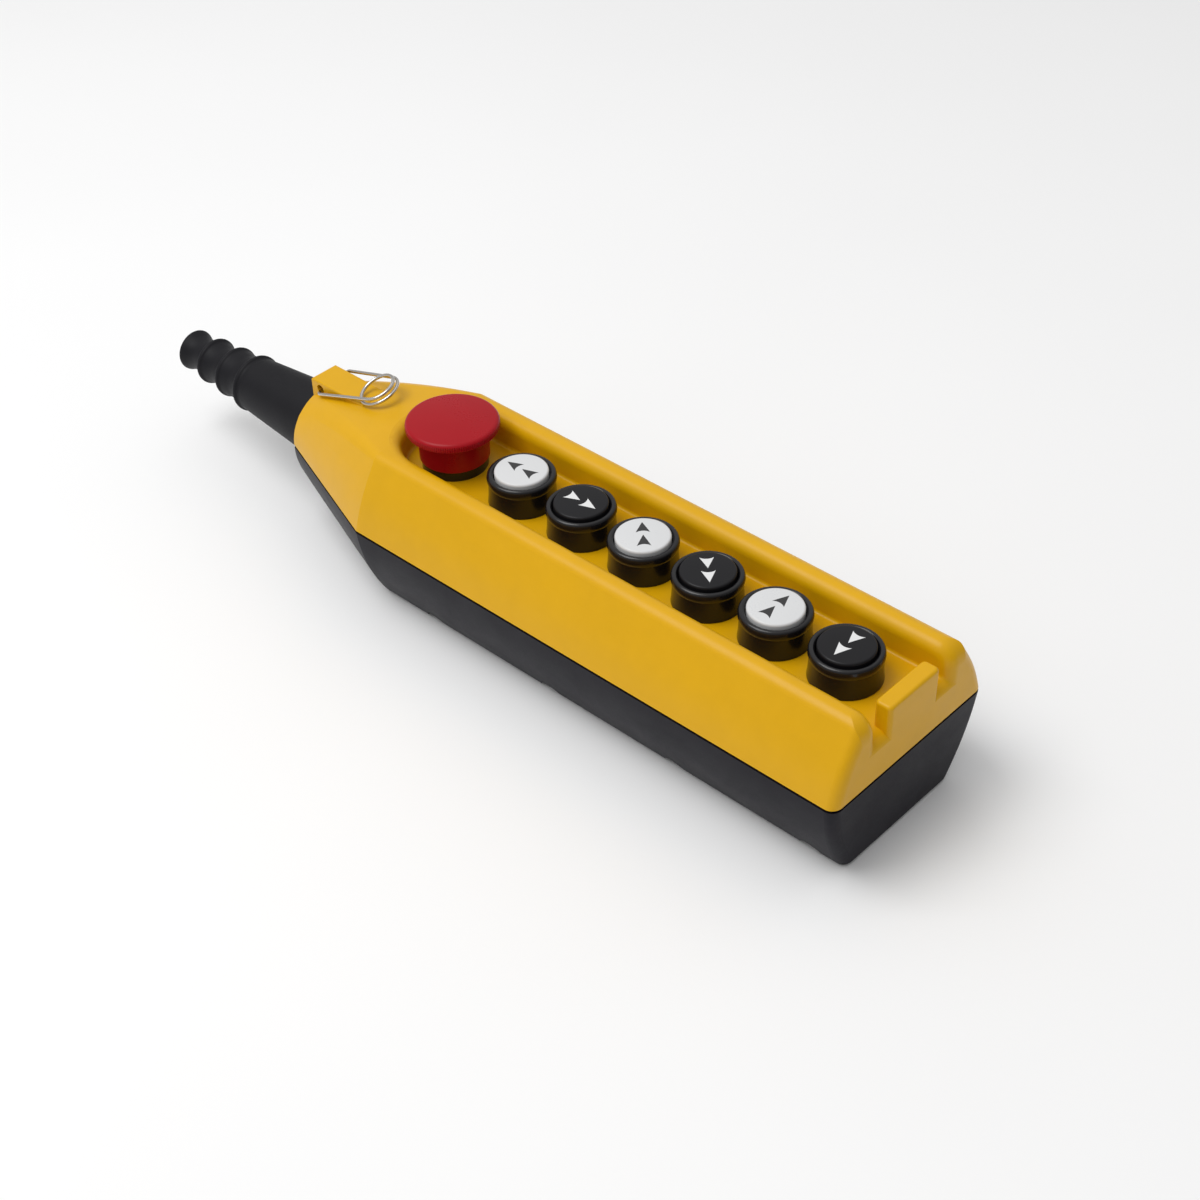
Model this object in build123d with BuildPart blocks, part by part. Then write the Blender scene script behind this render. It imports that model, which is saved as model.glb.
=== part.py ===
"""Hanging pendant control station: two-shell casing, cable boot, wire ring,
mushroom stop and a row of six guarded push buttons.

Frame: +X along the casing from the cable boot to the foot, +Z out of the button
face, Y across; the origin is under the middle of the whole, on the flat back.
All dimensions in millimetres."""
from build123d import *
from math import acos, atan2, cos, degrees, pi, radians, sin, sqrt, tan
import os

os.makedirs("parts", exist_ok=True)

# ---------------------------------------------------------------- dimensions
foot_x = 210.0            # end face of the casing at the foot
mouth_x = -112.6          # end face of the casing at the cable boot
taper_x = -44.15          # where the sides start to taper towards the boot
half_w = 46.03            # half width at the split line
split_z = 40.6            # lower edge of the front cover
back_rim_z = 39.4         # upper edge of the back cover
panel_z = 58.2            # face of the recessed button panel
crest_z = 71.8            # top of the two rails
wall = 3.0                # shell thickness
rail_y = 27.6             # centre line of each rail's rounded crest
rail_r = 5.6              # crest radius
recess_half = 22.0        # half width of the button recess, and its end radius
recess_edge_r = 5.0       # rounding of the recess edge
pitch = 33.54             # from button to button
first_button_x = 10.85
button_x = [first_button_x + pitch * k for k in range(6)]
stop_x = -29.35           # mushroom stop
device_x = [stop_x] + button_x
panel_hole_r = 11.25
boss_x = [-13.15 + 68.0 * k for k in range(4)]   # cover screws, in pairs
boss_y = 28.9
boss_r = 5.0
counterbore_r = 6.5
counterbore_top = 7.0
boot_z = 40.0             # axis of the cable boot
boot_bore_r = 6.5
eye_half_w = 7.1          # suspension eye
eye_top_z = 69.0
eye_hole_x, eye_hole_z, eye_hole_r = -107.15, 65.2, 2.1
foot_block_x = 202.35     # inner face of the block that closes the recess
foot_block_half = 15.0
foot_block_top = 70.2
travel = 5.5              # button stroke
cap_r = 11.3
stem_r = 5.07
barrel_r = 11.0
barrel_low = 13.0         # below the panel face
rail_z = 13.2             # underside of the contact rail
block_z = 14.2            # underside of the contact blocks
block_top = 34.2
stop_head_r = 20.05
stop_travel = 4.0
corner_r = 4.5            # upright corners at the foot
nose_r = 9.0              # ends of the rails at the foot, seen from the side
floor_roll_r = 5.6        # panel floor rolling over into the end face
floor_roll_in = 5.3       # its centre stands this far in from the end face
floor_edge_r = 1.5


# ------------------------------------------------- cross-sections of the casing
def lerp(a, b, f):
    return a + (b - a) * f


def station(x):
    """0 at the start of the taper, 1 at the mouth."""
    return (taper_x - x) / (taper_x - mouth_x)


def blend_points(p0, p2, f, inset, lift, base_z, span_z):
    """Points of a section between the full one and the mouth one: each entry is
    (y, z, angle of its outward normal). A bulge that is largest halfway makes
    the slope convex, and the inset moves each point along its normal."""
    out = []
    for (ya, za, na), (yb, zb, nb) in zip(p0, p2):
        y, z, n = lerp(ya, yb, f), lerp(za, zb, f), radians(lerp(na, nb, f))
        z += lift * 4 * f * (1 - f) * (z - base_z) / span_z
        out.append((y - inset * cos(n), z - inset * sin(n)))
    return out


# upper half: split edge, side, flank, crest corner, flat top
up0 = [(46.03, split_z, 0), (41.2, 53.7, 24), (37.4, 60.8, 31), (32.4, 69.08, 31),
       (rail_y + rail_r * cos(radians(60.5)), 66.2 + rail_r * sin(radians(60.5)), 60.5),
       (rail_y, crest_z, 90), (0, crest_z, 90)]


def up_mouth(t, n=None):
    return (21.5 * cos(radians(t)), split_z + 20.3 * sin(radians(t)), t if n is None else n)


up2 = [up_mouth(0), up_mouth(17.5), up_mouth(34), up_mouth(46), up_mouth(60), up_mouth(74), up_mouth(90)]


def upper_section(x, inset=0.0, floor_z=split_z):
    """Draws the upper half section in the current line builder."""
    f = max(station(x), 0.0)
    p = blend_points(up0, up2, f, inset, 2.2, split_z, 25.0)
    p[0] = (p[0][0], floor_z)
    q = [(-y, z) for y, z in p]
    ThreePointArc(p[0], p[1], p[2])
    if f < 0.01:
        Line(p[2], p[3])
    else:
        my, mz = (p[2][0] + p[3][0]) / 2, (p[2][1] + p[3][1]) / 2
        ThreePointArc(p[2], (my + 0.16 * f, mz + 0.16 * f), p[3])
    ThreePointArc(p[3], p[4], p[5])
    if f < 0.01:
        Line(p[5], q[5])
    else:
        ThreePointArc(p[5], p[6], q[5])
    ThreePointArc(q[5], q[4], q[3])
    if f < 0.01:
        Line(q[3], q[2])
    else:
        my, mz = (q[2][0] + q[3][0]) / 2, (q[2][1] + q[3][1]) / 2
        ThreePointArc(q[3], (my - 0.16 * f, mz + 0.16 * f), q[2])
    ThreePointArc(q[2], q[1], q[0])
    Line(q[0], p[0])


# lower half: rim, convex side (one arc), corner, flat back
back_edge_r = 2.4         # rounding between the sides and the flat back
side_r = 88.0             # radius of the convex side


def side_circle():
    """Centre of the side's arc, through the rim point and the sharp lower corner."""
    ya, za, yb, zb = half_w, back_rim_z, 32.35, 0.0
    d = sqrt((ya - yb) ** 2 + (za - zb) ** 2)
    h = sqrt(side_r ** 2 - d * d / 4)
    return (ya + yb) / 2 - h * (za - zb) / d, (za + zb) / 2 + h * (ya - yb) / d


side_cy, side_cz = side_circle()
edge_cy = side_cy + sqrt((side_r - back_edge_r) ** 2 - (back_edge_r - side_cz) ** 2)
tan_y = side_cy + (edge_cy - side_cy) * side_r / (side_r - back_edge_r)
tan_z = side_cz + (back_edge_r - side_cz) * side_r / (side_r - back_edge_r)
tan_a = degrees(atan2(tan_z - side_cz, tan_y - side_cy))
mid_a = (degrees(atan2(back_rim_z - side_cz, half_w - side_cy)) + tan_a) / 2
cor_a = (tan_a - 90) / 2
lo0 = [(half_w, back_rim_z, 0), (side_cy + side_r * cos(radians(mid_a)), side_cz + side_r * sin(radians(mid_a)), mid_a), (tan_y, tan_z, tan_a),
       (edge_cy + back_edge_r * cos(radians(cor_a)), back_edge_r + back_edge_r * sin(radians(cor_a)), cor_a), (edge_cy, 0.0, -90), (0, 0.0, -90)]
lo2 = [(21.5, back_rim_z, 0), (21.3, 34.5, -6), (20.1, 29.2, -20), (15.4, 21.4, -50),
       (7.0, 18.2, -82), (0, 17.9, -90)]


def lower_section(x, inset=0.0, rim_z=back_rim_z):
    f = max(station(x), 0.0)
    p = blend_points(lo0, lo2, f, inset, 2.0, back_rim_z, 30.0)
    p[0] = (p[0][0], rim_z)
    if f < 0.01 and inset > back_edge_r - 0.2:
        # inside corner tighter than the inset: keep a small radius there
        n1 = (cos(radians(tan_a)), sin(radians(tan_a)))
        k = (inset - back_edge_r + 0.2) / (1 - n1[1])
        cy, cz = edge_cy - k * n1[0], back_edge_r - k * (n1[1] - 1)
        for i, a in ((2, tan_a), (3, cor_a), (4, -90)):
            p[i] = (cy + 0.2 * cos(radians(a)), cz + 0.2 * sin(radians(a)))
    q = [(-y, z) for y, z in p]
    ThreePointArc(p[0], p[1], p[2])
    ThreePointArc(p[2], p[3], p[4])
    if f < 0.01:
        Line(p[4], q[4])
    else:
        ThreePointArc(p[4], p[5], q[4])
    ThreePointArc(q[4], q[3], q[2])
    ThreePointArc(q[2], q[1], q[0])
    Line(q[0], p[0])


def rim_outline(inset):
    """Plan outline of the casing at the split, drawn in the current line builder."""
    slope = (half_w - 21.5) / (taper_x - mouth_x)
    dx = inset * (sqrt(1 + slope * slope) - 1) / slope
    m = mouth_x + inset
    pts = [(foot_x - inset, half_w - inset), (taper_x + dx, half_w - inset),
           (m, 21.5 + slope * (m - mouth_x) - inset * sqrt(1 + slope * slope))]
    pts = pts + [(x, -y) for x, y in reversed(pts)]
    Polyline(*pts, close=True)


def tangent_arc(a, t, b):
    """Arc from a, leaving along t, to b."""
    chord = b - a
    c = chord.normalized()
    side = t - c * t.dot(c)
    if side.length < 1e-4:
        Line(a, b)
        return
    bulge = chord.length / 2 * tan(acos(min(1.0, t.dot(c))) / 2)
    ThreePointArc(a, a + chord * 0.5 + side.normalized() * bulge, b)


def biarc(a, ta, b, tb):
    """Two arcs that join a to b, leaving along ta and arriving along tb."""
    v = b - a
    s = ta + tb
    k, m = 2 * (1 - ta.dot(tb)), v.dot(s)
    d = v.dot(v) / (2 * m) if k < 1e-9 else (sqrt(m * m + k * v.dot(v)) - m) / k
    j = (a + ta * d + b - tb * d) * 0.5
    tj = ((b - tb * d) - (a + ta * d)).normalized()
    tangent_arc(a, ta, j)
    tangent_arc(j, tj, b)


# ---------------------------------------------------------------- front cover
with BuildPart() as recess_block:
    # everything above the underside of the panel and inside the recess walls
    with BuildSketch(Plane.XY.offset(panel_z - wall)):
        with Locations((stop_x, 0)):
            Circle(recess_half + 2.7)
        with Locations(((stop_x + foot_x + 5) / 2, 0)):
            Rectangle(foot_x + 5 - stop_x, 2 * (recess_half + 2.7))
    extrude(amount=30)
    # the end wall behind the foot block
    with BuildSketch(Plane.XY.offset(panel_z - 12)):
        with Locations((foot_x - 2.5, 0)):
            Rectangle(5, 100)
    extrude(amount=40)
    for bx in boss_x:
        for s in (-1, 1):
            with BuildSketch(Plane.XY.offset(split_z + 0.6)):
                with Locations((bx, s * boss_y)):
                    Circle(boss_r)
            extrude(amount=40)

with BuildPart() as front_cavity:
    with BuildSketch(Plane.YZ.offset(taper_x)):
        with BuildLine():
            upper_section(taper_x, wall, split_z - 1)
        make_face()
    with BuildSketch(Plane.YZ.offset(-74.0)):
        with BuildLine():
            upper_section(-74.0, wall, split_z - 1)
        make_face()
    with BuildSketch(Plane.YZ.offset(-104.0)):
        with BuildLine():
            upper_section(-104.0, wall, split_z - 1)
        make_face()
    loft()
    with BuildSketch(Plane.YZ.offset(taper_x)):
        with BuildLine():
            upper_section(taper_x, wall, split_z - 1)
        make_face()
    extrude(amount=foot_x - wall - taper_x)
    add(recess_block.part, mode=Mode.SUBTRACT)

eye_len = 34.0
with BuildPart() as eye_block:
    with BuildSketch(Plane.XY.offset(56.0)):
        with Locations((mouth_x + eye_len / 2, 0)):
            Rectangle(eye_len, 2 * eye_half_w)
    extrude(amount=eye_top_z - 56.0)
    fillet(eye_block.edges().group_by(Axis.Z)[-1], 0.9)

with BuildPart() as foot_block:
    with BuildSketch(Plane.XY.offset(50.0)):
        with Locations(((foot_block_x + foot_x) / 2, 0)):
            Rectangle(foot_x - foot_block_x, 2 * foot_block_half)
    extrude(amount=foot_block_top - 50.0)
    fillet(foot_block.edges().filter_by(Axis.Z), 2.0)
    fillet(foot_block.edges().group_by(Axis.Z)[-1], 1.4)

with BuildPart() as front_cover:
    # straight part, with its end corners rounded
    with BuildSketch(Plane.YZ.offset(taper_x)):
        with BuildLine():
            upper_section(taper_x)
        make_face()
    extrude(amount=foot_x - taper_x)
    fillet(front_cover.edges().filter_by_position(Axis.X, foot_x - 0.01, foot_x + 0.01).sort_by(Axis.Z)[1:], corner_r)
    with BuildSketch(Plane.XZ):
        with BuildLine():
            xa, za = foot_x - nose_r, crest_z - nose_r
            Polyline((xa, crest_z), (xa, crest_z + 5), (foot_x + 5, crest_z + 5), (foot_x + 5, za), (foot_x, za))
            ThreePointArc((foot_x, za), (xa + nose_r * cos(radians(45)), za + nose_r * sin(radians(45))), (xa, crest_z))
        make_face()
    extrude(amount=60, both=True, mode=Mode.SUBTRACT)
    # tapering part
    with BuildSketch(Plane.YZ.offset(taper_x)):
        with BuildLine():
            upper_section(taper_x)
        make_face()
    with BuildSketch(Plane.YZ.offset((taper_x + mouth_x) / 2)):
        with BuildLine():
            upper_section((taper_x + mouth_x) / 2)
        make_face()
    with BuildSketch(Plane.YZ.offset(mouth_x)):
        with BuildLine():
            upper_section(mouth_x)
        make_face()
    loft()
    # button recess: a slot with a round end, open at the foot, whose floor rolls
    # over into the end face
    with BuildSketch(Plane.XZ):
        with BuildLine():
            xa, za = foot_x - floor_roll_in, panel_z - floor_roll_r
            zb = za + sqrt(floor_roll_r ** 2 - floor_roll_in ** 2)
            ma = radians(90 + degrees(atan2(zb - za, floor_roll_in))) / 2
            Polyline((stop_x, panel_z), (xa, panel_z))
            ThreePointArc((xa, panel_z), (xa + floor_roll_r * cos(ma), za + floor_roll_r * sin(ma)), (foot_x, zb))
            Polyline((foot_x, zb), (foot_x + 5, zb), (foot_x + 5, panel_z + 25), (stop_x, panel_z + 25), (stop_x, panel_z))
        make_face()
    extrude(amount=recess_half, both=True, mode=Mode.SUBTRACT)
    with BuildSketch(Plane.XY.offset(panel_z)):
        with Locations((stop_x, 0)):
            Circle(recess_half)
    extrude(amount=25, mode=Mode.SUBTRACT)
    def on_recess_edge(e):
        c, bb = e.center(), e.bounding_box()
        if abs(abs(c.Y) - recess_half) < 0.05 and bb.size.Y < 0.01:
            along = e.length > 200 and c.Z > 70
            nose = e.geom_type == GeomType.CIRCLE and c.Z > 65
            upright = e.geom_type == GeomType.LINE and c.X > foot_x - 1 and bb.size.Z > 5
            return along or nose or upright
        return bb.min.Z > 66 and bb.max.X < stop_x + 0.5 and all(
            abs(sqrt((v.X - stop_x) ** 2 + v.Y ** 2) - recess_half) < 0.05 for v in e.vertices())

    fillet(front_cover.edges().filter_by(on_recess_edge), recess_edge_r)
    floor = front_cover.edges().filter_by(lambda e: abs(e.center().Z - panel_z) < 0.01 and e.bounding_box().size.Z < 0.01 and abs(e.center().X - stop_x) > 0.5 and e.center().X < foot_x - 7)
    fillet(floor, floor_edge_r)
    add(foot_block.part)
    add(eye_block.part)
    add(front_cavity.part, mode=Mode.SUBTRACT)
    # panel holes for the seven devices
    with BuildSketch(Plane.XY.offset(panel_z + 0.5)):
        with Locations(*[(x, 0) for x in device_x]):
            Circle(panel_hole_r)
    extrude(amount=-6, mode=Mode.SUBTRACT)
    # seats for the screw inserts, with clearance for the screw tips
    with BuildSketch(Plane.XY.offset(split_z)):
        with Locations(*[(x, s * boss_y) for x in boss_x for s in (-1, 1)]):
            Circle(3.1)
    extrude(amount=10.6, mode=Mode.SUBTRACT)
    with BuildSketch(Plane.XY.offset(split_z)):
        with Locations(*[(x, s * boss_y) for x in boss_x for s in (-1, 1)]):
            Circle(2.25)
    extrude(amount=16, mode=Mode.SUBTRACT)
    # mouth for the cable boot
    with BuildSketch(Plane.YZ.offset(mouth_x - 1)):
        with Locations((0, boot_z)):
            Circle(17.45)
    extrude(amount=3.0, mode=Mode.SUBTRACT)
    with BuildSketch(Plane.YZ.offset(mouth_x)):
        with Locations((0, boot_z)):
            Circle(16.1)
    extrude(amount=10, mode=Mode.SUBTRACT)
    # cross hole of the suspension eye
    with BuildSketch(Plane.XZ):
        with Locations((eye_hole_x, eye_hole_z)):
            Circle(eye_hole_r)
    extrude(amount=12, both=True, mode=Mode.SUBTRACT)
front_cover.part.label = "front_cover"

# ---------------------------------------------------------------- back cover
back_draft = 2.65         # the end face leans in towards the back

with BuildPart() as back_posts:
    for bx in boss_x:
        for s in (-1, 1):
            with BuildSketch(Plane.XY):
                with Locations((bx, s * boss_y)):
                    Circle(8.5)
            extrude(amount=10)
            with BuildSketch(Plane.XY):
                with Locations((bx, s * boss_y)):
                    Circle(boss_r)
            extrude(amount=40.9)
    with BuildSketch(Plane.XY):
        with Locations((-48, 0), (94.7, 0), (198, 0)):
            Circle(5)
    extrude(amount=rail_z)
    with BuildSketch(Plane.XY):
        with Locations((-86, 13.5), (-86, -13.5)):
            Circle(4.5)
    extrude(amount=46.6)
    with BuildSketch(Plane.XY):
        with Locations((-86, 0)):
            Rectangle(10, 27)
    extrude(amount=33.4)

with BuildPart() as back_cavity:
    with BuildSketch(Plane.YZ.offset(taper_x)):
        with BuildLine():
            lower_section(taper_x, wall, back_rim_z + 1)
        make_face()
    extrude(amount=foot_x - taper_x)
    with BuildSketch(Plane.XZ):
        with BuildLine():
            Polyline((foot_x - wall, back_rim_z + 3), (foot_x - wall, back_rim_z), (foot_x - wall - back_draft, 0),
                     (foot_x + 5, 0), (foot_x + 5, back_rim_z + 3), close=True)
        make_face()
    extrude(amount=60, both=True, mode=Mode.SUBTRACT)
    with BuildSketch(Plane.YZ.offset(taper_x)):
        with BuildLine():
            lower_section(taper_x, wall, back_rim_z + 1)
        make_face()
    with BuildSketch(Plane.YZ.offset(-74.0)):
        with BuildLine():
            lower_section(-74.0, wall, back_rim_z + 1)
        make_face()
    with BuildSketch(Plane.YZ.offset(-104.0)):
        with BuildLine():
            lower_section(-104.0, wall, back_rim_z + 1)
        make_face()
    loft()
    add(back_posts.part, mode=Mode.SUBTRACT)

with BuildPart() as back_lip:
    # locating lip that stands inside the front cover
    with BuildSketch(Plane.XY.offset(35.5)) as lip_low:
        with BuildLine():
            rim_outline(2.6)
        make_face()
        with BuildLine(mode=Mode.PRIVATE) as lip_inner:
            rim_outline(5.3)
        make_face(lip_inner.edges(), mode=Mode.SUBTRACT)
    extrude(amount=back_rim_z - 35.5)
    with BuildSketch(Plane.XY.offset(back_rim_z)):
        with BuildLine():
            rim_outline(3.9)
        make_face()
        with BuildLine(mode=Mode.PRIVATE) as lip_inner_top:
            rim_outline(5.3)
        make_face(lip_inner_top.edges(), mode=Mode.SUBTRACT)
    extrude(amount=2.7)
    with BuildSketch(Plane.XY.offset(35.0)):
        with Locations((-110.0, 0)):
            Rectangle(13.0, 60)
    extrude(amount=10, mode=Mode.SUBTRACT)
    fillet(back_lip.edges().filter_by(Axis.Z).group_by(Axis.X)[-1], 1.2)

with BuildPart() as back_cover:
    # straight part: sharp section first, then the corners at the foot and the
    # whole lower edge are rounded
    with BuildSketch(Plane.YZ.offset(taper_x)):
        with BuildLine():
            mid = (lo0[1][0], lo0[1][1])
            ThreePointArc((half_w, back_rim_z), mid, (32.35, 0))
            Line((32.35, 0), (-32.35, 0))
            ThreePointArc((-32.35, 0), (-mid[0], mid[1]), (-half_w, back_rim_z))
            Line((-half_w, back_rim_z), (half_w, back_rim_z))
        make_face()
    extrude(amount=foot_x - taper_x)
    with BuildSketch(Plane.XZ):
        with BuildLine():
            Polyline((foot_x + back_draft / back_rim_z * 3, back_rim_z + 3), (foot_x - back_draft, 0), (foot_x - back_draft, -3), (foot_x + 5, -3),
                     (foot_x + 5, back_rim_z + 3), close=True)
        make_face()
    extrude(amount=60, both=True, mode=Mode.SUBTRACT)
    corners = back_cover.edges().filter_by(lambda e: e.bounding_box().min.X > foot_x - 4 and e.bounding_box().size.Z > 10)
    fillet(corners, corner_r)
    low = back_cover.edges().filter_by(lambda e: e.bounding_box().max.Z < 0.01 and e.bounding_box().max.X > taper_x + 1)
    fillet(low, back_edge_r)
    with BuildSketch(Plane.YZ.offset(taper_x)):
        with BuildLine():
            lower_section(taper_x)
        make_face()
    with BuildSketch(Plane.YZ.offset((taper_x + mouth_x) / 2)):
        with BuildLine():
            lower_section((taper_x + mouth_x) / 2)
        make_face()
    with BuildSketch(Plane.YZ.offset(mouth_x)):
        with BuildLine():
            lower_section(mouth_x)
        make_face()
    loft()
    add(back_cavity.part, mode=Mode.SUBTRACT)
    add(back_lip.part)
    # screw counterbores, which break out through the lower edge of the sides
    with BuildSketch(Plane.XY):
        with Locations(*[(x, s * boss_y) for x in boss_x for s in (-1, 1)]):
            Circle(counterbore_r)
    extrude(amount=counterbore_top, mode=Mode.SUBTRACT)
    with BuildSketch(Plane.XY):
        with Locations(*[(x, s * boss_y) for x in boss_x for s in (-1, 1)]):
            Circle(2.25)
    extrude(amount=45, mode=Mode.SUBTRACT)
    # holes for the rail and clamp screws
    with BuildSketch(Plane.XY.offset(4.5)):
        with Locations((-48, 0), (94.7, 0), (198, 0)):
            Circle(1.5)
    extrude(amount=12, mode=Mode.SUBTRACT)
    with BuildSketch(Plane.XY.offset(34)):
        with Locations((-86, 13.5), (-86, -13.5)):
            Circle(2.0)
    extrude(amount=14, mode=Mode.SUBTRACT)
    with BuildSketch(Plane.YZ.offset(-91.5)):
        with Locations((0, boot_z)):
            Circle(6.8)
    extrude(amount=11, mode=Mode.SUBTRACT)
    with BuildSketch(Plane.YZ.offset(mouth_x - 1)):
        with Locations((0, boot_z)):
            Circle(17.45)
    extrude(amount=3.0, mode=Mode.SUBTRACT)
    with BuildSketch(Plane.YZ.offset(mouth_x)):
        with Locations((0, boot_z)):
            Circle(16.1)
    extrude(amount=10, mode=Mode.SUBTRACT)
back_cover.part.label = "back_cover"

# ---------------------------------------------------------------- cover gasket
with BuildPart() as cover_gasket:
    with BuildSketch(Plane.XY.offset(back_rim_z)):
        with BuildLine():
            rim_outline(1.1)
        make_face()
        with BuildLine(mode=Mode.PRIVATE) as gasket_inner:
            rim_outline(2.9)
        make_face(gasket_inner.edges(), mode=Mode.SUBTRACT)
        with Locations((-112.0, 0)):
            Rectangle(16.0, 36.2, mode=Mode.SUBTRACT)
    extrude(amount=split_z - back_rim_z)
    fillet(cover_gasket.edges().filter_by(Axis.Z).group_by(Axis.X)[-1], 3.4)
    fillet(cover_gasket.edges().filter_by(Axis.Z).filter_by(lambda e: foot_x - 4 < e.center().X < foot_x - 2), 1.6)
cover_gasket.part.label = "cover_gasket"

# ------------------------------------------------- cover screws and their inserts
with BuildPart() as cover_screws:
    with BuildSketch(Plane.XY.offset(counterbore_top - 3.0)):
        with Locations(*[(x, s * boss_y) for x in boss_x for s in (-1, 1)]):
            Circle(3.8)
    extrude(amount=3.0)
    fillet(cover_screws.edges().group_by(Axis.Z)[0], 0.5)
    with BuildSketch(Plane.XY.offset(counterbore_top)):
        with Locations(*[(x, s * boss_y) for x in boss_x for s in (-1, 1)]):
            Circle(2.0)
    extrude(amount=47.0)
    with BuildSketch(Plane.XY.offset(counterbore_top - 3.0)):
        with Locations(*[(x, s * boss_y) for x in boss_x for s in (-1, 1)]):
            RegularPolygon(1.75, 6)
    extrude(amount=1.8, mode=Mode.SUBTRACT)
cover_screws.part.label = "cover_screws"

with BuildPart() as screw_inserts:
    with BuildSketch(Plane.XY.offset(split_z + 0.8)):
        with Locations(*[(x, s * boss_y) for x in boss_x for s in (-1, 1)]):
            Circle(3.1)
            Circle(2.0, mode=Mode.SUBTRACT)
    extrude(amount=9.2)
screw_inserts.part.label = "screw_inserts"

# ---------------------------------------------------------------- cable boot
boot_tip = -210.0
ribs = [(-209.0, 9.7), (-193.76, 11.06), (-179.11, 12.09), (-164.41, 13.66)]
waists = [(-201.6, 8.0), (-186.6, 9.35), (-171.9, 10.85)]
with BuildPart() as cable_boot:
    with BuildSketch(Plane.XY.offset(boot_z)):
        with BuildLine():
            # outline from the tip towards the casing: lip, three ribs with curved
            # waists between them, a smooth cone, a neck and the clamped flange
            Line((boot_tip, boot_bore_r), (boot_tip, 9.2))
            ThreePointArc((boot_tip, 9.2), (-209.75, 9.62), (-209.0, 9.72))
            pts = [(-209.0, 9.72), (-207.9, 9.35), (-205.2, 8.35), (-201.6, 8.0), (-198.2, 8.7), (-195.4, 10.35)]
            Spline(*pts, tangents=[(1, -0.08), (0.6, 0.8)])
            ThreePointArc((-195.4, 10.35), (-194.3, 11.1), (-193.1, 10.75))
            Spline((-193.1, 10.75), (-190.8, 9.75), (-186.6, 9.35), (-183.4, 9.95), (-180.8, 11.4), tangents=[(0.62, -0.78), (0.6, 0.8)])
            ThreePointArc((-180.8, 11.4), (-179.65, 12.15), (-178.4, 11.75))
            Spline((-178.4, 11.75), (-176.1, 11.2), (-171.9, 10.85), (-168.7, 11.45), (-166.1, 12.9), tangents=[(0.62, -0.5), (0.6, 0.8)])
            ThreePointArc((-166.1, 12.9), (-164.95, 13.68), (-163.7, 13.3))
            Spline((-163.7, 13.3), (-162.4, 12.85), (-160.6, 13.05), tangents=[(0.7, -0.7), (1, 0.103)])
            Line((-160.6, 13.05), (-110.8, 17.25))
            Polyline((-110.8, 17.25), (-110.8, 16.0), (-103.9, 16.0), (-103.9, 19.0), (-100.4, 19.0),
                     (-100.4, boot_bore_r), (boot_tip, boot_bore_r))
        make_face()
    revolve(axis=Axis((0, 0, boot_z), (1, 0, 0)))
cable_boot.part.label = "cable_boot"

# ---------------------------------------------------------------- cable clamp
with BuildPart() as cable_clamp:
    with BuildSketch(Plane.YZ.offset(-91.0)):
        with BuildLine():
            Polyline((-18.5, 46.6), (-7.5, 46.6))
            ThreePointArc((-7.5, 46.6), (0, 48.3), (7.5, 46.6))
            Polyline((7.5, 46.6), (18.5, 46.6), (18.5, 48.6), (9.5, 48.6))
            ThreePointArc((9.5, 48.6), (0, 50.9), (-9.5, 48.6))
            Polyline((-9.5, 48.6), (-18.5, 48.6), (-18.5, 46.6))
        make_face()
    extrude(amount=10)
    with BuildSketch(Plane.XY.offset(44)):
        with Locations((-86, 13.5), (-86, -13.5)):
            Circle(2.25)
    extrude(amount=8, mode=Mode.SUBTRACT)
    fillet(cable_clamp.edges().filter_by(Axis.Z).filter_by(lambda e: abs(e.center().Y) > 18), 2.0)
cable_clamp.part.label = "cable_clamp"

with BuildPart() as clamp_screws:
    with BuildSketch(Plane.XY.offset(48.6)):
        with Locations((-86, 13.5), (-86, -13.5)):
            Circle(3.6)
    extrude(amount=2.6)
    fillet(clamp_screws.edges().group_by(Axis.Z)[-1], 0.6)
    with BuildSketch(Plane.XY.offset(36)):
        with Locations((-86, 13.5), (-86, -13.5)):
            Circle(2.0)
    extrude(amount=12.6)
    with BuildSketch(Plane.XY.offset(50.0)):
        with Locations((-86, 13.5), (-86, -13.5)):
            Rectangle(4.6, 0.8)
            Rectangle(0.8, 4.6)
    extrude(amount=2, mode=Mode.SUBTRACT)
clamp_screws.part.label = "clamp_screws"

# ------------------------------------------------- push button guards and caps
turn = [180, 0, 135, -45, 90, -90]      # which way each button's arrows point
parts = [front_cover, back_cover, cover_gasket, cover_screws, screw_inserts, cable_boot, cable_clamp, clamp_screws]
P = panel_z


def device_axis(x):
    return Axis((x, 0, 0), (0, 0, 1))


def profile_plane(x):
    """Upright plane through a device's axis: (radius, height above the panel)."""
    return Plane(origin=(x, 0, P), x_dir=(1, 0, 0), z_dir=(0, -1, 0))


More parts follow.
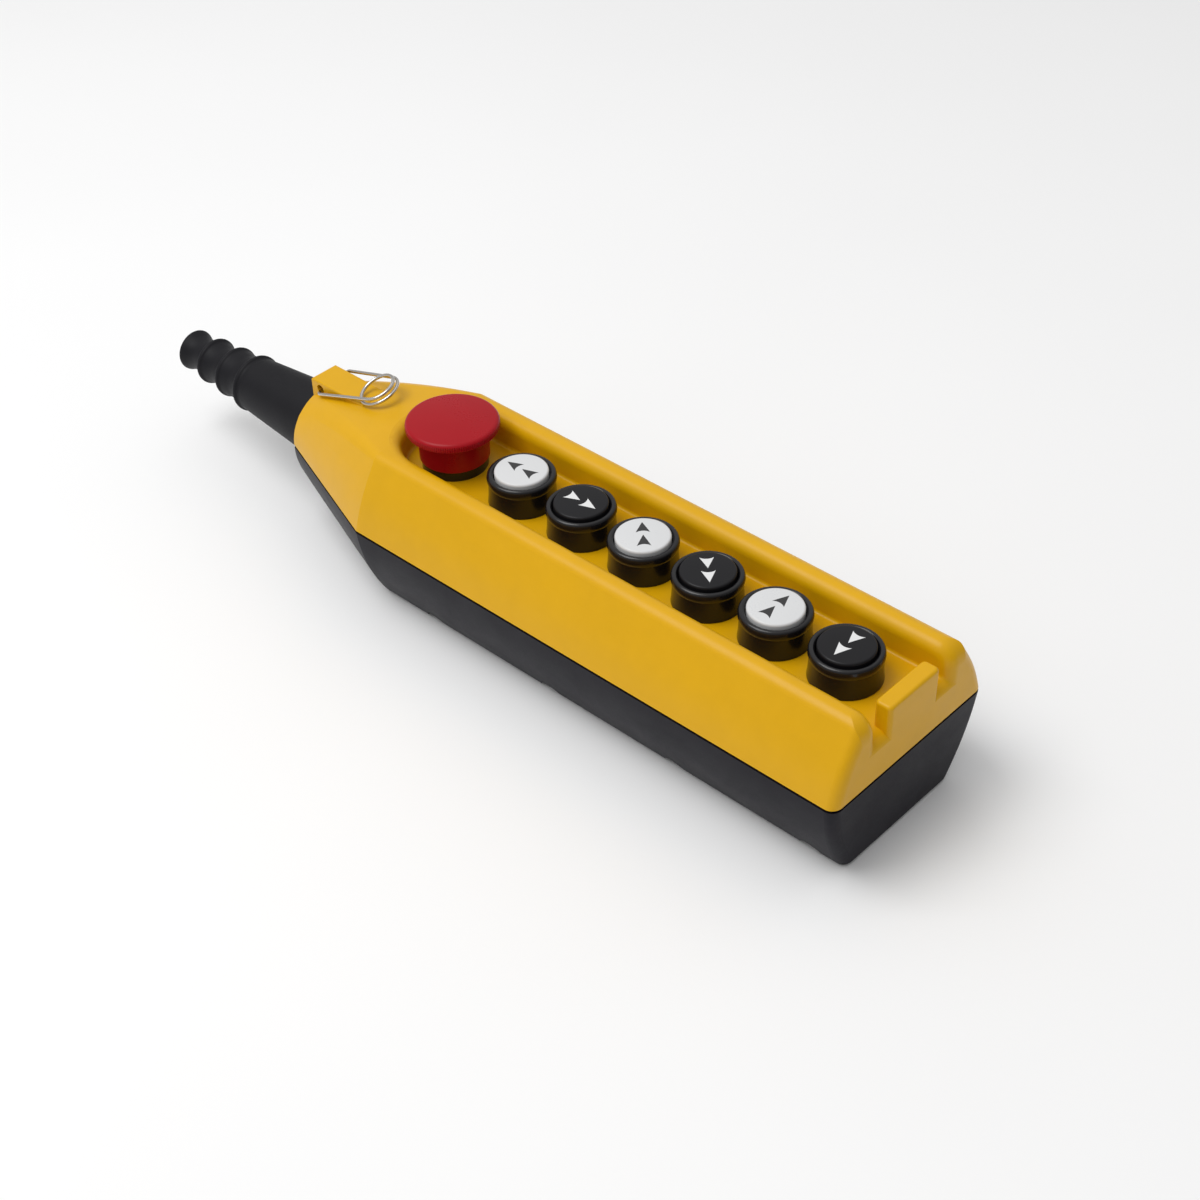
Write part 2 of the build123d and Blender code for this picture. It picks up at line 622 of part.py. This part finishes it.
for k, bx in enumerate(button_x):
    with BuildPart() as guard:
        with BuildSketch(profile_plane(bx)):
            with BuildLine():
                Polyline((13.4, 0.0), (14.25, 0.0))
                ThreePointArc((14.25, 0.0), (14.45, 0.15), (14.5, 0.6))
                ThreePointArc((14.5, 0.6), (14.12, 5.0), (14.05, 9.6))
                ThreePointArc((14.05, 9.6), (14.52, 11.25), (14.3, 12.85))
                ThreePointArc((14.3, 12.85), (13.75, 13.58), (12.95, 13.8))
                ThreePointArc((12.95, 13.8), (12.1, 13.35), (11.75, 12.4))
                Polyline((11.75, 12.4), (11.75, 1.2), (9.0, 1.2), (9.0, -11.5), (5.15, -11.5), (5.15, -barrel_low), (barrel_r - 0.6, -barrel_low),
                         (barrel_r, -barrel_low + 0.6), (barrel_r, 0.0), (11.3, 0.0), (11.3, 0.8), (13.4, 0.8), (13.4, 0.0))
            make_face()
        revolve(axis=device_axis(bx))
    guard.part.label = f"button_guard_{k + 1}"

    t = radians(turn[k])
    with BuildPart() as arrow_prism:
        with BuildSketch(Plane(origin=(bx, 0, P + 14.7), x_dir=(cos(t), sin(t), 0), z_dir=(0, 0, 1))):
            for tip_u in (8.0, -0.44):
                with BuildLine():
                    a, b, c = (tip_u, 0.0), (tip_u - 6.95, 2.9), (tip_u - 6.95, -2.9)
                    Line(c, a)
                    Line(a, b)
                    ThreePointArc(b, (tip_u - 5.9, 0.0), c)
                make_face()
        extrude(amount=2)

    with BuildPart() as cap:
        with BuildSketch(profile_plane(bx)):
            with BuildLine():
                ThreePointArc((0.0, 15.5), (5.2, 15.42), (10.3, 15.15))
                ThreePointArc((10.3, 15.15), (11.02, 14.84), (cap_r, 14.15))
                Polyline((cap_r, 14.15), (cap_r, 7.5), (stem_r, 7.5), (stem_r, -13.3), (6.3, -13.3), (6.3, -14.2), (5.0, -16.2),
                         (5.0, -17.5), (0, -17.5), (0, 15.5))
            make_face()
        revolve(axis=device_axis(bx))
    with BuildPart() as arrows:
        add(cap.part)
        add(arrow_prism.part, mode=Mode.INTERSECT)
    with BuildPart() as cap_cut:
        add(cap.part)
        add(arrow_prism.part, mode=Mode.SUBTRACT)
    cap_cut.part.label = f"button_cap_{k + 1}"
    arrows.part.label = f"button_arrows_{k + 1}"
    parts += [guard, cap_cut, arrows]

# ------------------------------------------------- mushroom stop
with BuildPart() as stop_body:
    with BuildSketch(profile_plane(stop_x)):
        with BuildLine():
            Polyline((13.0, 0.0), (14.2, 0.0), (14.2, 9.6), (13.8, 10.0), (9.0, 10.0), (9.0, -11.5), (5.15, -11.5), (5.15, -barrel_low),
                     (barrel_r - 0.6, -barrel_low), (barrel_r, -barrel_low + 0.6), (barrel_r, 0.0), (11.3, 0.0), (11.3, 0.8), (13.0, 0.8), (13.0, 0.0))
        make_face()
    revolve(axis=device_axis(stop_x))
stop_body.part.label = "stop_body"

with BuildPart() as stop_stem:
    with BuildSketch(profile_plane(stop_x)):
        with BuildLine():
            Polyline((0, 20.5), (3.6, 20.5), (4.0, 20.1), (4.0, 14.3), (8.6, 14.3), (8.6, 12.3), (stem_r, 12.3), (stem_r, -13.3), (6.3, -13.3),
                     (6.3, -14.2), (5.0, -16.2), (5.0, -17.5), (0, -17.5), (0, 20.5))
        make_face()
    revolve(axis=device_axis(stop_x))
stop_stem.part.label = "stop_stem"

grip_count = 132
with BuildPart() as stop_head:
    with BuildSketch(profile_plane(stop_x)):
        with BuildLine():
            # shallow dome, rounded edge, upright rim, underside and skirt
            rc, zc, er = stop_head_r - 2.0, 20.3, 2.0
            edge = (rc + er * cos(radians(82)), zc + er * sin(radians(82)))
            ThreePointArc((0.0, 23.57), (edge[0] / 2, 23.25), edge)
            ThreePointArc(edge, (rc + er * cos(radians(41)), zc + er * sin(radians(41))), (stop_head_r, zc))
            Line((stop_head_r, zc), (stop_head_r, 19.0))
            ThreePointArc((stop_head_r, 19.0), (19.8, 18.5), (19.3, 18.3))
            Spline((19.3, 18.3), (17.4, 18.15), (15.9, 17.3), (15.1, 15.2), tangents=[(-1, -0.02), (-0.1, -1)])
            Polyline((15.1, 15.2), (15.0, 4.9), (14.75, 4.65), (14.55, 4.65), (14.55, 14.65), (9.0, 14.65), (4.06, 14.65), (4.06, 20.8), (0, 20.8), (0, 23.57))
        make_face()
    revolve(axis=device_axis(stop_x))
    # fine upright grooves round the rim
    with BuildSketch(Plane.XY.offset(P + 18.0)):
        with Locations((stop_x, 0)):
            with PolarLocations(stop_head_r + 0.06, grip_count):
                Circle(0.3)
    extrude(amount=3.6, mode=Mode.SUBTRACT)
stop_head.part.label = "stop_head"
parts += [stop_body, stop_stem, stop_head]

# ------------------------------------------------- lock nuts and panel seals
with BuildPart() as lock_nuts:
    with BuildSketch(Plane.XY.offset(P - wall)):
        with Locations(*[(x, 0) for x in device_x]):
            RegularPolygon(14.2, 6, major_radius=False)
            Circle(barrel_r + 0.02, mode=Mode.SUBTRACT)
    extrude(amount=-4)
lock_nuts.part.label = "lock_nuts"

with BuildPart() as panel_seals:
    for x in device_x:
        with BuildSketch(Plane.XY.offset(P)):
            with Locations((x, 0)):
                Circle(13.4 if x != stop_x else 13.0)
                Circle(11.3, mode=Mode.SUBTRACT)
        extrude(amount=0.8)
panel_seals.part.label = "panel_seals"
parts += [lock_nuts, panel_seals]

# ------------------------------------------------- return springs


coil_r, coil_wire_r, coil_turns = 7.0, 0.55, 5


for k, x in enumerate(device_x):
    low = P - 11.5 + coil_wire_r
    rise = (P + 7.5 if k else P + 12.3) - coil_wire_r - low
    steps = coil_turns * 4
    lead = rise / (2 * pi * coil_turns)

    def coil(i):
        t = 2 * pi * coil_turns * i / steps
        return (Vector(x + coil_r * cos(t), coil_r * sin(t), low + lead * t),
                Vector(-coil_r * sin(t), coil_r * cos(t), lead).normalized())

    with BuildPart() as spring:
        with BuildLine() as coil_path:
            for i in range(steps):
                biarc(*coil(i), *coil(i + 1))
        with BuildSketch(Plane(origin=coil(0)[0], x_dir=(1, 0, 0), z_dir=coil(0)[1])):
            Circle(coil_wire_r)
        sweep(path=coil_path.wire())
    spring.part.label = "stop_spring" if k == 0 else f"button_spring_{k}"
    parts.append(spring)

# ------------------------------------------------- contact blocks and plungers
for k, x in enumerate(device_x):
    with BuildPart() as block:
        with BuildSketch(Plane.YZ.offset(x - 14.0)):
            with BuildLine():
                Polyline((-19, block_z), (19, block_z), (19, 26.2), (12, 26.2), (12, block_top), (-12, block_top), (-12, 26.2), (-19, 26.2), close=True)
            make_face()
        extrude(amount=28.0)
        chamfer(block.edges().filter_by(Axis.X).filter_by(lambda e: e.center().Z > 20 and abs(e.center().Y) > 11.5 and not (abs(abs(e.center().Y) - 12) < 0.1 and e.center().Z < 30)), 0.6)
        # inner chamber of the moving bridge, and the plunger's bore
        with BuildSketch(Plane.XY.offset(17.6)):
            with Locations((x, 0)):
                Rectangle(9.0, 19.0)
        extrude(amount=12.0, mode=Mode.SUBTRACT)
        with BuildSketch(Plane.XY.offset(20)):
            with Locations((x, 0)):
                Circle(2.47)
        extrude(amount=20, mode=Mode.SUBTRACT)
        with BuildSketch(Plane.XY.offset(20.0)):
            with Locations(*[(x + dx, s * 15.8) for dx in (-7, 7) for s in (-1, 1)]):
                Circle(1.5)
        extrude(amount=8, mode=Mode.SUBTRACT)
    block.part.label = "stop_contact_block" if k == 0 else f"contact_block_{k}"
    with BuildPart() as plunger:
        with BuildSketch(Plane.XY.offset(24.0)):
            with Locations((x, 0)):
                Circle(2.4)
        extrude(amount=P - 17.5 - 24.0)
        with BuildSketch(Plane.XY.offset(26.6)):
            with Locations((x, 0)):
                Rectangle(4.0, 17.0)
        extrude(amount=0.9)
    plunger.part.label = "stop_plunger" if k == 0 else f"contact_plunger_{k}"
    parts += [block, plunger]

with BuildPart() as terminal_screws:
    with BuildSketch(Plane.XY.offset(26.2)):
        with Locations(*[(x + dx, s * 15.8) for x in device_x for dx in (-7, 7) for s in (-1, 1)]):
            Circle(2.6)
    extrude(amount=1.8)
    fillet(terminal_screws.edges().group_by(Axis.Z)[-1], 0.4)
    with BuildSketch(Plane.XY.offset(21.0)):
        with Locations(*[(x + dx, s * 15.8) for x in device_x for dx in (-7, 7) for s in (-1, 1)]):
            Circle(1.5)
    extrude(amount=5.2)
    with BuildSketch(Plane.XY.offset(27.2)):
        with Locations(*[(x + dx, s * 15.8) for x in device_x for dx in (-7, 7) for s in (-1, 1)]):
            Rectangle(4.0, 0.7)
    extrude(amount=2, mode=Mode.SUBTRACT)
terminal_screws.part.label = "terminal_screws"

# ------------------------------------------------- contact rail
with BuildPart() as contact_rail:
    with BuildSketch(Plane.XY.offset(rail_z)):
        with Locations(((-54 + 204) / 2, 0)):
            Rectangle(258, 24)
    extrude(amount=1.0)
    fillet(contact_rail.edges().filter_by(Axis.Z), 2.0)
    with BuildSketch(Plane.XY.offset(rail_z)):
        with Locations((-48, 0), (94.7, 0), (198, 0)):
            Circle(1.7)
    extrude(amount=1.0, mode=Mode.SUBTRACT)
contact_rail.part.label = "contact_rail"

with BuildPart() as rail_screws:
    with BuildSketch(Plane.XY.offset(rail_z + 1.0)):
        with Locations((-48, 0), (94.7, 0), (198, 0)):
            Circle(2.5)
    extrude(amount=2.0)
    fillet(rail_screws.edges().group_by(Axis.Z)[-1], 0.5)
    with BuildSketch(Plane.XY.offset(5.0)):
        with Locations((-48, 0), (94.7, 0), (198, 0)):
            Circle(1.5)
    extrude(amount=rail_z + 1.0 - 5.0)
    with BuildSketch(Plane.XY.offset(rail_z + 2.0)):
        with Locations((-48, 0), (94.7, 0), (198, 0)):
            Rectangle(3.4, 0.6)
            Rectangle(0.6, 3.4)
    extrude(amount=2, mode=Mode.SUBTRACT)
rail_screws.part.label = "rail_screws"
parts += [terminal_screws, contact_rail, rail_screws]

# ---------------------------------------------------------------- suspension ring
# a wire wound one and a half turns, whose straight ends are bent inwards into
# the cross hole of the suspension eye
ring_wire_r = 0.78
ring_r, ring_growth, ring_lead = 7.59, 1.02, 2.12     # radius, growth and lead per turn
ring_c = Vector(-77.5, 0.36, 75.5)
ra, rb = radians(15.6), radians(19.7)
e1 = Vector(cos(ra), 0, sin(ra))
e2 = Vector(-sin(ra) * sin(rb), cos(rb), cos(ra) * sin(rb))
e3 = e1.cross(e2)


def ring_point(deg):
    t = deg / 360
    r = ring_r + ring_growth * t
    return ring_c + e1 * (r * cos(radians(deg - 90))) + e2 * (r * sin(radians(deg - 90))) - e3 * (ring_lead * t)


start_deg, end_deg = 4.0, 542.0
near_root = Vector(eye_hole_x, -9.05, 63.75)          # where the two legs would
far_root = Vector(eye_hole_x, 9.07, 66.85)            # cross the hole's axis
bend_r = 1.9


p_start, p_end = ring_point(start_deg), ring_point(end_deg)
t_near, t_far = (p_start - near_root).normalized(), (far_root - p_end).normalized()
near_pin = Vector(eye_hole_x, near_root.Y + bend_r, eye_hole_z - 1.1)
far_pin = Vector(eye_hole_x, far_root.Y - bend_r, eye_hole_z + 1.1)
near_leg, far_leg = near_root + t_near * bend_r, far_root - t_far * bend_r
with BuildPart() as suspension_ring:
    with BuildLine() as ring_path:
        Line((eye_hole_x, -2.6, near_pin.Z), near_pin)
        biarc(near_pin, Vector(0, -1, 0), near_leg, t_near)
        Line(near_leg, p_start)
        steps = 12
        degs = [start_deg + (end_deg - start_deg) * i / steps for i in range(steps + 1)]
        tangents = [t_near] + [(ring_point(d + 0.5) - ring_point(d - 0.5)).normalized() for d in degs[1:-1]] + [t_far]
        for i in range(steps):
            biarc(ring_point(degs[i]), tangents[i], ring_point(degs[i + 1]), tangents[i + 1])
        Line(p_end, far_leg)
        biarc(far_leg, t_far, far_pin, Vector(0, -1, 0))
        Line(far_pin, (eye_hole_x, 2.6, far_pin.Z))
    with BuildSketch(Plane(origin=(eye_hole_x, -2.6, near_pin.Z), x_dir=(1, 0, 0), z_dir=(0, -1, 0))):
        Circle(ring_wire_r)
    sweep(path=ring_path.wire())
suspension_ring.part.label = "suspension_ring"
parts.append(suspension_ring)

# ---------------------------------------------------------------- write
for p in parts:
    export_step(p.part, f"parts/{p.part.label}.step")
print(len(parts), "parts")
for p in parts:
    if not p.part.is_valid:
        print("NOT VALID", p.part.label)
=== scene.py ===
import math

import bpy
from mathutils import Matrix, Vector


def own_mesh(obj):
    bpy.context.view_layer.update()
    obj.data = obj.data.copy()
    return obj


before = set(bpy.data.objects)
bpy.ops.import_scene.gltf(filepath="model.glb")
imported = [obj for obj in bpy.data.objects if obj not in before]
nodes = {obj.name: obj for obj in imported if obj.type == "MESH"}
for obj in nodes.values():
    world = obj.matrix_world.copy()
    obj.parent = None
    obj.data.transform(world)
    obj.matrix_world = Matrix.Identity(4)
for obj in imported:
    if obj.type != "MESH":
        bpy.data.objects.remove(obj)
scene = bpy.context.scene
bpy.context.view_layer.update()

# ------------------------------------------------------------------ camera
az, el, roll = math.radians(44.141), math.radians(39.41), math.radians(-2.038)
back = Vector((math.sin(az) * math.cos(el), -math.cos(az) * math.cos(el), math.sin(el)))
right = Vector((math.cos(az), math.sin(az), 0.0))
up = back.cross(right)
cx = right * math.cos(roll) + up * math.sin(roll)
cy = up * math.cos(roll) - right * math.sin(roll)
cam = bpy.data.objects.new("camera", bpy.data.cameras.new("camera"))
scene.collection.objects.link(cam)
m = Matrix.Identity(4)
for i in range(3):
    m[i][0], m[i][1], m[i][2] = cx[i], cy[i], back[i]
m.translation = Vector((0.51475, -0.4757, 0.5714))
cam.matrix_world = m
cam.data.sensor_width = 36.0
cam.data.lens = 62.267
cam.data.clip_start, cam.data.clip_end = 0.01, 20.0
scene.camera = cam

# ------------------------------------------------------------------ materials


def srgb(r, g, b):
    """Linear colour of 8-bit screen values."""
    return tuple((c / 12.92 if c <= 0.04045 else ((c + 0.055) / 1.055) ** 2.4) for c in (r / 255, g / 255, b / 255))


class Shader:
    """A node material built up step by step around one Principled shader."""

    def __init__(self, name, **sockets):
        self.mat = bpy.data.materials.new(name)
        self.mat.use_nodes = True
        self.tree = self.mat.node_tree
        self.tree.nodes.clear()
        out = self.tree.nodes.new("ShaderNodeOutputMaterial")
        self.p = self.tree.nodes.new("ShaderNodeBsdfPrincipled")
        self.tree.links.new(self.p.outputs[0], out.inputs[0])
        self.coord = self.tree.nodes.new("ShaderNodeTexCoord").outputs["Object"]
        for k, v in sockets.items():
            self.p.inputs[k.replace("_", " ")].default_value = v

    def node(self, kind, values=None, **props):
        n = self.tree.nodes.new(kind)
        for k, v in props.items():
            setattr(n, k, v)
        for k, v in (values or {}).items():
            if isinstance(v, bpy.types.NodeSocket):
                self.tree.links.new(v, n.inputs[k])
            else:
                n.inputs[k].default_value = v
        return n

    def noise(self, scale, detail=2.0, rough=0.5, distortion=0.0, vector=None):
        return self.node("ShaderNodeTexNoise", {"Vector": vector or self.coord, "Scale": scale, "Detail": detail, "Roughness": rough,
                                                "Distortion": distortion}).outputs[0]

    def voronoi(self, scale, feature="F1", vector=None):
        return self.node("ShaderNodeTexVoronoi", {"Vector": vector or self.coord, "Scale": scale}, feature=feature).outputs["Distance"]

    def ramp(self, value, lo, hi, a, b):
        """Maps value from lo..hi to a..b, clamped."""
        return self.node("ShaderNodeMapRange", {"Value": value, "From Min": lo, "From Max": hi, "To Min": a, "To Max": b}).outputs[0]

    def math(self, op, a, b=0.0):
        return self.node("ShaderNodeMath", {0: a, 1: b}, operation=op).outputs[0]

    def mix(self, f, a, b):
        n = self.node("ShaderNodeMix", data_type="RGBA")
        for i, v in ((0, f), (6, a), (7, b)):
            if isinstance(v, bpy.types.NodeSocket):
                self.tree.links.new(v, n.inputs[i])
            else:
                n.inputs[i].default_value = v if i == 0 else (*v, 1.0)
        return n.outputs[2]

    def stretch(self, x, y, z):
        return self.node("ShaderNodeMapping", {"Vector": self.coord, "Scale": (x, y, z)}).outputs[0]

    def color(self, value):
        self.tree.links.new(value, self.p.inputs["Base Color"])

    def rough(self, value):
        self.tree.links.new(value, self.p.inputs["Roughness"])

    def bump(self, heights):
        """heights: list of (height in metres when the field is 1, field socket)."""
        normal = None
        for depth, h in heights:
            b = self.node("ShaderNodeBump", {"Strength": 1.0, "Distance": depth, "Height": h})
            if normal is not None:
                self.tree.links.new(normal, b.inputs["Normal"])
            normal = b.outputs[0]
        self.tree.links.new(normal, self.p.inputs["Normal"])


def plastic(name, base, rough=0.42, grain=0.000004, grain_scale=2600.0, peel=0.00001, mottle=0.035, spread=0.06, **sockets):
    """Moulded plastic: fine spark-eroded grain over a slow unevenness, with slightly
    uneven gloss and colour."""
    s = Shader(name, **sockets)
    slow, mid = s.noise(14.0, 3.0), s.noise(90.0, 3.0, 0.6)
    dark = tuple(c * (1 - mottle) for c in base)
    light = tuple(min(1.0, c * (1 + mottle)) for c in base)
    s.color(s.mix(s.ramp(s.math("ADD", s.math("MULTIPLY", slow, 0.6), s.math("MULTIPLY", mid, 0.4)), 0.35, 0.65, 0.0, 1.0), dark, light))
    smear = s.noise(38.0, 4.0, 0.65, 0.6)
    s.rough(s.ramp(s.math("ADD", s.math("MULTIPLY", smear, 0.7), s.math("MULTIPLY", s.noise(1400.0, 1.0), 0.3)), 0.3, 0.7, rough - spread, rough + spread))
    s.bump([(peel, s.noise(260.0, 2.0, 0.5)), (grain, s.noise(grain_scale, 2.0, 0.6))])
    return s.mat


def metal(name, base, rough, brush=(1, 1, 1), fine=1200.0, depth=0.000002, tint=0.06, spread=0.06):
    s = Shader(name, Metallic=1.0)
    v = s.stretch(*brush)
    lines = s.noise(fine, 3.0, 0.6, 0.0, v)
    s.color(s.mix(s.ramp(s.noise(60.0, 3.0), 0.3, 0.7, 0.0, 1.0), tuple(c * (1 - tint) for c in base), base))
    s.rough(s.ramp(lines, 0.3, 0.7, max(0.02, rough - spread), rough + spread))
    s.bump([(depth, lines)])
    return s.mat


mats = {
    "yellow": plastic("yellow_moulding", (0.70, 0.375, 0.001), rough=0.36, IOR=1.34),
    "black": plastic("black_moulding", (0.0085, 0.0076, 0.0122), rough=0.45, grain=0.000005, grain_scale=2200.0, mottle=0.10, IOR=1.22),
    "gloss_black": plastic("black_device_moulding", (0.0080, 0.0076, 0.0090), rough=0.20, grain=0.0000006, grain_scale=3000.0, peel=0.000004, mottle=0.08, spread=0.04, IOR=1.44),
    "black_cap": plastic("black_cap_moulding", (0.0085, 0.0082, 0.0098), rough=0.34, grain=0.0000015, grain_scale=3000.0, mottle=0.08, IOR=1.30),
    "rubber": plastic("black_rubber", (0.0085, 0.0083, 0.0105), rough=0.55, grain=0.000009, grain_scale=1700.0, peel=0.00002, mottle=0.14, IOR=1.26),
    "red": plastic("red_moulding", (0.360, 0.0040, 0.0100), rough=0.30, grain=0.000003, IOR=1.27),
    "white": plastic("white_cap_moulding", (0.67, 0.675, 0.68), rough=0.30, grain=0.0000012, mottle=0.012, IOR=1.42),
    "mark_white": plastic("white_mark_moulding", (0.76, 0.76, 0.76), rough=0.36, grain=0.0000012, mottle=0.015),
    "mark_black": plastic("black_mark_moulding", (0.022, 0.021, 0.022), rough=0.36, grain=0.0000012, mottle=0.08),
    "grey": plastic("grey_moulding", (0.085, 0.088, 0.092), rough=0.45, mottle=0.05),
    "wire": metal("bright_wire", (0.60, 0.57, 0.53), 0.13, (1, 1, 1), 900.0, 0.000002),
    "zinc": metal("zinc_plated_steel", (0.62, 0.63, 0.65), 0.30, (1, 1, 3), 800.0, 0.000003),
    "spring": metal("spring_steel", (0.48, 0.48, 0.49), 0.28, (1, 1, 1), 1500.0),
    "brass": metal("turned_brass", (0.78, 0.56, 0.22), 0.25, (1, 1, 6), 1500.0),
}


def assign(name, mat):
    o = nodes[name]
    o.data.materials.clear()
    o.data.materials.append(mats[mat])


for n in nodes:
    if n == "front_cover":
        assign(n, "yellow")
    elif n == "back_cover":
        assign(n, "black")
    elif n in ("cover_gasket", "cable_boot", "panel_seals"):
        assign(n, "rubber")
    elif n.startswith("button_guard") or n in ("lock_nuts", "stop_body"):
        assign(n, "gloss_black")
    elif n == "stop_head":
        assign(n, "red")
    elif n.startswith("button_cap"):
        assign(n, "white" if int(n[-1]) % 2 else "black_cap")
    elif n.startswith("button_arrows"):
        assign(n, "mark_black" if int(n[-1]) % 2 else "mark_white")
    elif n == "suspension_ring":
        assign(n, "wire")
    elif n in ("stop_spring",) or n.startswith("button_spring"):
        assign(n, "spring")
    elif n == "screw_inserts":
        assign(n, "brass")
    elif n in ("cover_screws", "clamp_screws", "terminal_screws", "rail_screws", "contact_rail", "cable_clamp"):
        assign(n, "zinc")
    else:
        assign(n, "grey")

# each return spring gets its own copy of its mesh; in the device it shortens between its seat and the stem that
# presses it
for k in range(7):
    name, joint = (f"button_spring_{k}", f"button_{k}_push") if k else ("stop_spring", "stop_push")
    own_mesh(nodes[name])

# ------------------------------------------------------------------ stage
floor_mesh = bpy.data.meshes.new("floor")
floor_mesh.from_pydata([(-6, -6, -0.0002), (6, -6, -0.0002), (6, 6, -0.0002), (-6, 6, -0.0002)], [], [(0, 1, 2, 3)])
floor = bpy.data.objects.new("floor", floor_mesh)
scene.collection.objects.link(floor)
fs = Shader("pale_floor", Roughness=0.9)
fs.color(fs.mix(fs.ramp(fs.noise(3.0, 2.0), 0.3, 0.7, 0.0, 1.0), (0.90, 0.90, 0.90), (0.92, 0.92, 0.92)))
floor_mesh.materials.append(fs.mat)

world = bpy.data.worlds.new("studio")
scene.world = world
world.use_nodes = True
wt = world.node_tree
sky = wt.nodes.new("ShaderNodeSeparateXYZ")
wt.links.new(wt.nodes.new("ShaderNodeTexCoord").outputs["Generated"], sky.inputs[0])
level = wt.nodes.new("ShaderNodeMapRange")
level.inputs["From Min"].default_value, level.inputs["From Max"].default_value = 0.0, 1.0
level.inputs["To Min"].default_value, level.inputs["To Max"].default_value = 0.36, 0.96
wt.links.new(sky.outputs["Z"], level.inputs["Value"])
wt.nodes["Background"].inputs[0].default_value = (1, 1, 1, 1)
# the studio is a little darker on the foot's side
shade = wt.nodes.new("ShaderNodeMapRange")
shade.inputs["From Min"].default_value, shade.inputs["From Max"].default_value = 0.0, 1.0
shade.inputs["To Min"].default_value, shade.inputs["To Max"].default_value = 1.0, 0.35
wt.links.new(sky.outputs["X"], shade.inputs["Value"])
both = wt.nodes.new("ShaderNodeMath")
both.operation = "MULTIPLY"
wt.links.new(level.outputs[0], both.inputs[0])
wt.links.new(shade.outputs[0], both.inputs[1])
wt.links.new(both.outputs[0], wt.nodes["Background"].inputs[1])


def area(name, direction, dist, size, power, target=(0.0, 0.0, 0.05)):
    light = bpy.data.lights.new(name, "AREA")
    light.shape = "RECTANGLE"
    light.size, light.size_y = size
    light.energy = power
    o = bpy.data.objects.new(name, light)
    scene.collection.objects.link(o)
    d = Vector(direction).normalized()
    o.location = Vector(target) + d * dist
    o.rotation_mode = "QUATERNION"
    o.rotation_quaternion = d.to_track_quat("Z", "Y")
    return o


area("key", (-0.24, -0.34, 0.91), 1.6, (1.0, 1.0), 13.5)

scene.view_settings.view_transform = "Standard"
scene.view_settings.look = "None"
